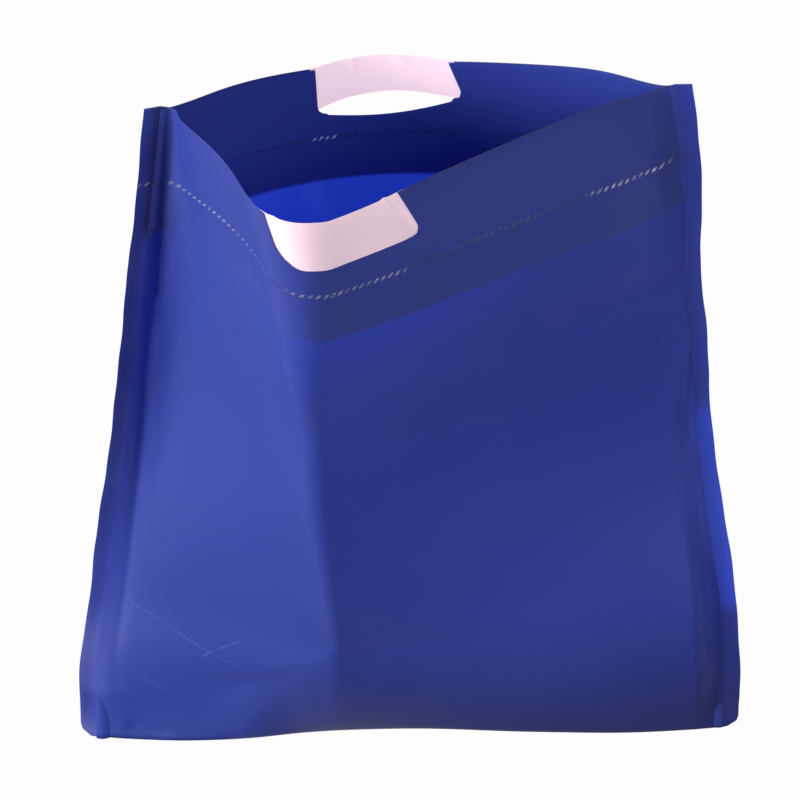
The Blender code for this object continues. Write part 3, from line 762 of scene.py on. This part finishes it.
def light_line(n, across, below, start, end, wide):
    """1 along a thin line between two places of the film, fading at its ends."""
    (x0, y0), (x1, y1) = start, end
    run = math.hypot(x1 - x0, y1 - y0)
    cx, cy = (x1 - x0) / run, (y1 - y0) / run
    x, y = n.math("SUBTRACT", across, x0), n.math("SUBTRACT", below, y0)
    off = n.math("MULTIPLY_ADD", x, cy, n.math("MULTIPLY", y, -cx))
    along = n.math("MULTIPLY_ADD", x, cx, n.math("MULTIPLY", y, cy))
    ends = n.math("MINIMUM", along, n.math("SUBTRACT", run, along))
    ends = n.math("DIVIDE", ends, 0.25 * run, clamp=True)
    return n.math("MULTIPLY", n.near(off, 0.0, wide), ends)


def blue_film():
    n = Nodes("blue_film_look")
    uv = n.node("ShaderNodeUVMap", uv_map="film").outputs["UV"]
    parts = n.node("ShaderNodeSeparateXYZ")
    n.link(uv, parts.inputs[0])
    across, below = parts.outputs["X"], parts.outputs["Y"]
    plies = n.node("ShaderNodeAttribute", attribute_name="plies").outputs["Fac"]
    double = n.math("SUBTRACT", plies, 1.0, clamp=True)

    cloud = n.noise(uv, (14.0, 9.0, 1.0), 3.0)
    colour = n.mix(double, n.mix(cloud, *SINGLE_BLUES), n.mix(cloud, *DOUBLE_BLUES))
    knurl = weld_knurl(n, uv, across, below)
    colour = n.mix(n.math("MULTIPLY", knurl, 0.85), colour, PRESSED_BLUE)
    colour = n.mix(n.math("MULTIPLY", knurl, weld_glint(n, across)), colour, GLINT)
    shade = film_shade(n, across, below)
    colour = n.mix(shade, colour, SHADE_BLUE)
    # pale scratches on the front, and one painted highlight streak on the back panel
    for start, end, wide, amount in SCRATCH_AND_SHEEN_LINES:
        line = light_line(n, across, below, start, end, wide)
        colour = n.mix(n.math("MULTIPLY", line, amount), colour, SCRATCH_AND_SHEEN_BLUE)
    # painted highlight along the fold at the rim
    edge = n.math("SUBTRACT", 1.0, n.math("DIVIDE", below, RIM_HIGHLIGHT_REACH), clamp=True)
    colour = n.mix(n.math("MULTIPLY", edge, 0.5), colour, RIM_HIGHLIGHT_BLUE)
    n.link(colour, n.shader.inputs["Base Color"])

    haze = n.noise(uv, (30.0, 6.0, 1.0), 4.0)
    n.link(n.math("MULTIPLY_ADD", haze, 0.10, FILM_ROUGHNESS), n.shader.inputs["Roughness"])
    n.shader.inputs["Specular IOR Level"].default_value = FILM_GLOSS

    fine = n.noise(uv, (900.0, 120.0, 1.0), 3.0)
    n.bump(n.math("MULTIPLY_ADD", knurl, -1.0, n.math("MULTIPLY", fine, 0.03)), 0.5, 0.0006)

    # light that reaches the back of the film glows through it, less through two plies
    through = n.mix(double, SINGLE_GLOW, DOUBLE_GLOW)
    n.show_through(n.mix(shade, through, SHADE_GLOW),
                   n.math("MULTIPLY_ADD", double, -0.20, 0.38))
    return n.material


def pink_film():
    n = Nodes("pink_film_look")
    uv = n.node("ShaderNodeUVMap", uv_map="film").outputs["UV"]
    cloud = n.noise(uv, (40.0, 30.0, 1.0), 2.0)
    n.link(n.mix(cloud, *PINKS), n.shader.inputs["Base Color"])
    n.shader.inputs["Roughness"].default_value = FILM_ROUGHNESS
    n.bump(n.noise(uv, (500.0, 500.0, 1.0), 2.0), 0.05, 0.0005)
    n.show_through(PINK_GLOW, 0.30)
    return n.material


def area_light(name, place, aim, size, power):
    data = bpy.data.lights.new(name, "AREA")
    data.shape = "RECTANGLE"
    data.size, data.size_y = size
    data.energy = power
    obj = bpy.data.objects.new(name, data)
    bpy.context.scene.collection.objects.link(obj)
    obj.location = place
    direction = obj.location - type(obj.location)(aim)
    obj.rotation_euler = direction.to_track_quat("Z", "Y").to_euler()
    return obj


def background_rays(tree):
    """1 for the rays that show the background: camera, glossy and transmission rays."""
    path = tree.nodes.new("ShaderNodeLightPath")
    rays = path.outputs["Is Camera Ray"]
    for name in ("Is Glossy Ray", "Is Transmission Ray"):
        larger = tree.nodes.new("ShaderNodeMath")
        larger.operation = "MAXIMUM"
        tree.links.new(rays, larger.inputs[0])
        tree.links.new(path.outputs[name], larger.inputs[1])
        rays = larger.outputs[0]
    return rays


def studio_floor():
    mesh = bpy.data.meshes.new("studio_floor")
    reach = FLOOR_REACH
    mesh.from_pydata([(-reach, -reach, 0), (reach, -reach, 0), (reach, reach, 0),
                      (-reach, reach, 0)], [], [(0, 1, 2, 3)])
    floor = bpy.data.objects.new("studio_floor", mesh)
    bpy.context.scene.collection.objects.link(floor)
    floor.location.z = -FLOOR_DROP
    material = bpy.data.materials.new("studio_white")
    material.use_nodes = True
    tree = material.node_tree
    shader = tree.nodes["Principled BSDF"]
    shader.inputs["Base Color"].default_value = (0.04, 0.04, 0.04, 1)
    shader.inputs["Roughness"].default_value = 0.9
    shader.inputs["Specular IOR Level"].default_value = 0.1
    white = tree.nodes.new("ShaderNodeEmission")
    white.inputs["Strength"].default_value = 1.0
    share = tree.nodes.new("ShaderNodeMath")
    share.operation = "MULTIPLY"
    share.inputs[1].default_value = WHITE_SHARE
    tree.links.new(background_rays(tree), share.inputs[0])
    seen = tree.nodes.new("ShaderNodeMixShader")
    tree.links.new(share.outputs[0], seen.inputs["Fac"])
    tree.links.new(shader.outputs[0], seen.inputs[1])
    tree.links.new(white.outputs[0], seen.inputs[2])
    tree.links.new(seen.outputs[0], tree.nodes["Material Output"].inputs["Surface"])
    mesh.materials.append(material)


def studio_world():
    world = bpy.data.worlds.new("studio_world")
    world.use_nodes = True
    tree = world.node_tree
    background = tree.nodes["Background"]
    background.inputs["Color"].default_value = (1, 1, 1, 1)
    strength = tree.nodes.new("ShaderNodeMapRange")
    strength.inputs["To Min"].default_value = WORLD_LIGHT
    strength.inputs["To Max"].default_value = 1.0
    tree.links.new(background_rays(tree), strength.inputs["Value"])
    tree.links.new(strength.outputs["Result"], background.inputs["Strength"])
    bpy.context.scene.world = world


def studio_lights():
    for lamp in LAMPS:
        area_light(*lamp)
    # this one only gives the film its gloss low down at the left
    area_light(*LOW_SHEEN).visible_diffuse = False


def camera():
    az, el = math.radians(CAMERA_AZIMUTH), math.radians(CAMERA_ELEVATION)
    back = np.array([math.sin(az) * math.cos(el), -math.cos(az) * math.cos(el), math.sin(el)])
    data = bpy.data.cameras.new("camera")
    data.sensor_width = SENSOR_WIDTH
    data.sensor_fit = "HORIZONTAL"
    data.lens = SENSOR_WIDTH * CAMERA_DISTANCE / CAMERA_SPAN
    data.clip_end = 60.0
    obj = bpy.data.objects.new("camera", data)
    bpy.context.scene.collection.objects.link(obj)
    obj.location = np.array(CAMERA_AIM) + back * CAMERA_DISTANCE
    obj.rotation_euler = (math.radians(90.0) - el, 0.0, az)
    bpy.context.scene.camera = obj


def main():
    panels = stand_panels()
    notches = [Notch(FRONT_NOTCH), Notch(BACK_NOTCH)]
    blue, pink = blue_film(), pink_film()
    bag = build_bag(panels, notches, blue)
    front = build_strip("front_strip_film", panels[0], notches[0], FRONT_STRIP_RISE, 0.0,
                        FRONT_STRIP_WAVE, FRONT_STRIP_FOLDS, pink)
    back = build_strip("back_strip_film", panels[1], notches[1], BACK_STRIP_RISE,
                       BACK_STRIP_LIFT, 0.0, BACK_STRIP_FOLDS, pink)
    for piece, node, slot in ((bag, "bag_film", "blue_film"),
                              (front, "front_handle_strip", "front_pink_film"),
                              (back, "back_handle_strip", "back_pink_film")):
        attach(piece, "root")
        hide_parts(node)
    studio_floor()
    studio_world()
    studio_lights()
    camera()
    bpy.context.scene.view_settings.view_transform = "Standard"


main()
